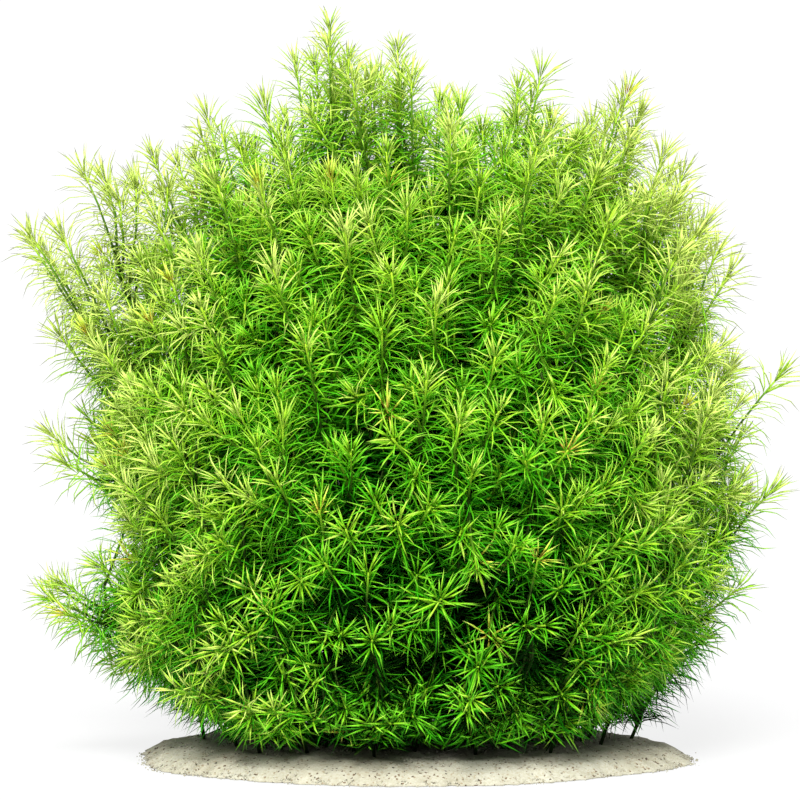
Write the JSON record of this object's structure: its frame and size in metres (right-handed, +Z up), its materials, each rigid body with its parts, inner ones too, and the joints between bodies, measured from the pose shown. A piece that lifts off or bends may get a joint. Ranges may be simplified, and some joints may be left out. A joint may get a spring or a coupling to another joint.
{
  "type": "rotala nanjenshan aquarium plant",
  "caption": "Bushy aquarium stem plant: leafy shoots of whorled needle leaves fan out from stems rooted in a low patch of pale sand.",
  "frame": {"origin": "centre of the sand patch's flat underside, on the surface that it rests on", "axes": "+Z up along the bush's height, the bush's front faces -Y and its width runs along X"},
  "size_m": [0.2743, 0.2116, 0.2665],
  "materials": {
    "foliage": "soft fresh leaf, yellow-green at the tips and deep green inside, faintly translucent",
    "sand": "matte fine pale beige sand with darker grains"
  },
  "bodies": {
    "root": {"stem_01": "foliage", "stem_02": "foliage", "stem_03": "foliage", "stem_04": "foliage", "stem_05": "foliage", "stem_06": "foliage", "stem_07": "foliage", "stem_08": "foliage", "stem_09": "foliage", "stem_10": "foliage", "stem_11": "foliage", "stem_12": "foliage", "stem_13": "foliage", "stem_14": "foliage", "stem_15": "foliage", "stem_16": "foliage", "stem_17": "foliage", "stem_18": "foliage", "stem_19": "foliage", "stem_20": "foliage", "stem_21": "foliage", "stem_22": "foliage", "stem_23": "foliage", "stem_24": "foliage", "stem_25": "foliage", "stem_26": "foliage", "stem_27": "foliage", "stem_28": "foliage", "stem_29": "foliage", "stem_30": "foliage", "stem_31": "foliage", "stem_32": "foliage", "stem_33": "foliage", "stem_34": "foliage", "stem_35": "foliage", "stem_36": "foliage", "stem_37": "foliage", "stem_38": "foliage", "stem_39": "foliage", "stem_40": "foliage", "stem_41": "foliage", "stem_42": "foliage", "stem_43": "foliage", "stem_44": "foliage", "stem_45": "foliage", "stem_46": "foliage", "stem_47": "foliage", "stem_48": "foliage", "stem_49": "foliage", "stem_50": "foliage", "stem_51": "foliage", "stem_52": "foliage", "stem_53": "foliage", "stem_54": "foliage", "stem_55": "foliage", "stem_56": "foliage", "sand_bed": "sand"}
  },
  "joints": []
}
